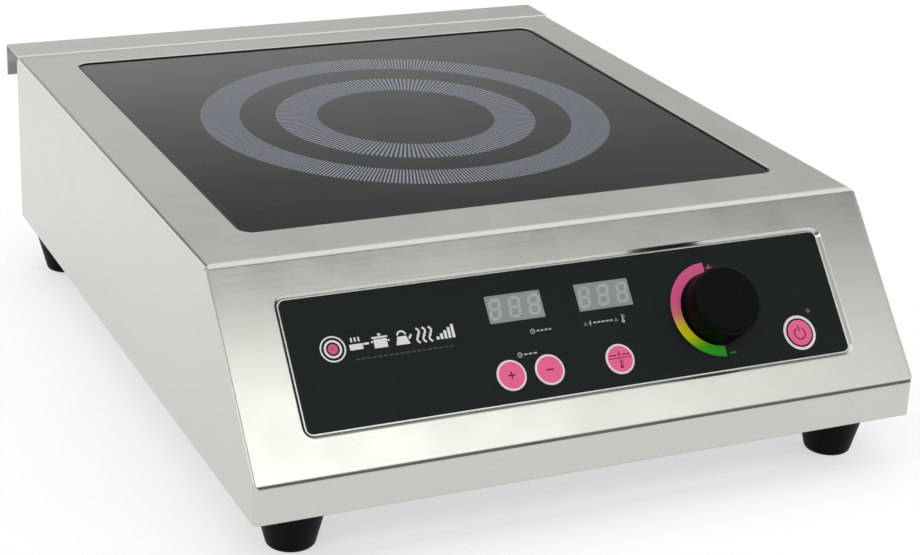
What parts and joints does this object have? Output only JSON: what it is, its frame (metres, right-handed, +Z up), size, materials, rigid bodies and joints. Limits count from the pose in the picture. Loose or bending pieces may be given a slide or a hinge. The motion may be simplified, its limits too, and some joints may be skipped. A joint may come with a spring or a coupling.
{
  "type": "induction hob",
  "caption": "Countertop induction hob: folded stainless casing on four feet, inset glass-ceramic plate over a coil, sloping front with knob, round keys and displays.",
  "frame": {"origin": "centre of the overall footprint, on the surface the feet stand on", "axes": "+Z up, +Y from the control front to the back, +X to the right seen from the front"},
  "size_m": [0.327, 0.422, 0.1176],
  "materials": {
    "stainless": "brushed stainless sheet",
    "zinc_steel": "zinc-plated",
    "glass_ceramic": "black glass-ceramic, opaque",
    "silicone": "silicone",
    "mica": "mica sheet",
    "litz_copper": "enamelled copper wire",
    "former_plastic": "heat-resistant plastic",
    "ferrite": "ferrite",
    "aluminium": "plain",
    "wire_sleeve": "sleeved wire",
    "circuit_board": "glass-fibre board",
    "brass": "plain",
    "device_black": "moulded",
    "capacitor": "moulded box",
    "filter_blue": "moulded box",
    "inductor": "wound core",
    "transformer": "wound core with yellow tape",
    "fuse_glass": "glass tube",
    "terminal_green": "moulded",
    "fan_black": "moulded",
    "shaft_steel": "ground",
    "film_black": "printed polycarbonate film",
    "display_face": "grey face",
    "key_pink": "printed",
    "light_lens": "clear lens",
    "foot_black": "matt",
    "black_plastic": "moulded",
    "sensor_red": "silicone boot",
    "flat_cable": "flat cable"
  },
  "bodies": {
    "chassis": {"top_shell": "stainless", "rear_spacer": "stainless", "base_plate": "zinc_steel", "rear_panel": "zinc_steel", "feet": "foot_black", "foot_screws": "zinc_steel", "foot_nuts": "zinc_steel", "case_screws": "zinc_steel", "rear_screws": "zinc_steel", "spacer_rivets": "zinc_steel", "cable_gland": "black_plastic", "gland_nut": "black_plastic", "glass_plate": "glass_ceramic", "glass_seal": "silicone", "mica_sheet": "mica", "coil_winding": "litz_copper", "coil_former": "former_plastic", "ferrite_bars": "ferrite", "coil_plate": "aluminium", "coil_springs": "zinc_steel", "coil_posts": "zinc_steel", "glass_sensor": "sensor_red", "coil_leads": "wire_sleeve", "power_board": "circuit_board", "board_standoffs": "brass", "heatsink": "aluminium", "power_transistors": "device_black", "bridge_rectifier": "device_black", "resonant_capacitors": "capacitor", "filter_capacitors": "filter_blue", "filter_inductor": "inductor", "supply_transformer": "transformer", "fuse": "fuse_glass", "terminal_block": "terminal_green", "left_fan_frame": "fan_black", "right_fan_frame": "fan_black", "fan_screws": "zinc_steel", "control_cable": "flat_cable", "control_film": "film_black", "control_board": "circuit_board", "control_standoffs": "zinc_steel", "key_switches": "device_black", "left_display": "display_face", "right_display": "display_face", "power_light": "light_lens", "encoder": "zinc_steel", "encoder_nut": "zinc_steel"},
    "knob": {"knob": "black_plastic", "encoder_shaft": "shaft_steel"},
    "left_fan_rotor": {"left_impeller": "fan_black", "left_fan_shaft": "shaft_steel"},
    "right_fan_rotor": {"right_impeller": "fan_black", "right_fan_shaft": "shaft_steel"},
    "plus_key": {"plus_key": "key_pink"},
    "minus_key": {"minus_key": "key_pink"},
    "mode_key": {"mode_key": "key_pink"},
    "power_key": {"power_key": "key_pink"}
  },
  "joints": [
    {"name": "knob_turn", "type": "hinge", "parent": "chassis", "child": "knob", "pos_m": [0.0717, -0.17921, 0.07916], "axis": [0, -0.7565, 0.654], "continuous": true},
    {"name": "plus_key_press", "type": "slide", "parent": "chassis", "child": "plus_key", "axis": [0, 0.7565, -0.654], "range_m": [0, 0.0004], "stiffness_N_per_m": 2500},
    {"name": "minus_key_press", "type": "slide", "parent": "chassis", "child": "minus_key", "axis": [0, 0.7565, -0.654], "range_m": [0, 0.0004], "stiffness_N_per_m": 2500},
    {"name": "mode_key_press", "type": "slide", "parent": "chassis", "child": "mode_key", "axis": [0, 0.7565, -0.654], "range_m": [0, 0.0004], "stiffness_N_per_m": 2500},
    {"name": "power_key_press", "type": "slide", "parent": "chassis", "child": "power_key", "axis": [0, 0.7565, -0.654], "range_m": [0, 0.0004], "stiffness_N_per_m": 2500},
    {"name": "left_fan_spin", "type": "hinge", "parent": "chassis", "child": "left_fan_rotor", "pos_m": [-0.064, -0.1, 0.04], "axis": [0, 0, 1], "continuous": true},
    {"name": "right_fan_spin", "type": "hinge", "parent": "chassis", "child": "right_fan_rotor", "pos_m": [0.064, -0.1, 0.04], "axis": [0, 0, 1], "continuous": true}
  ]
}
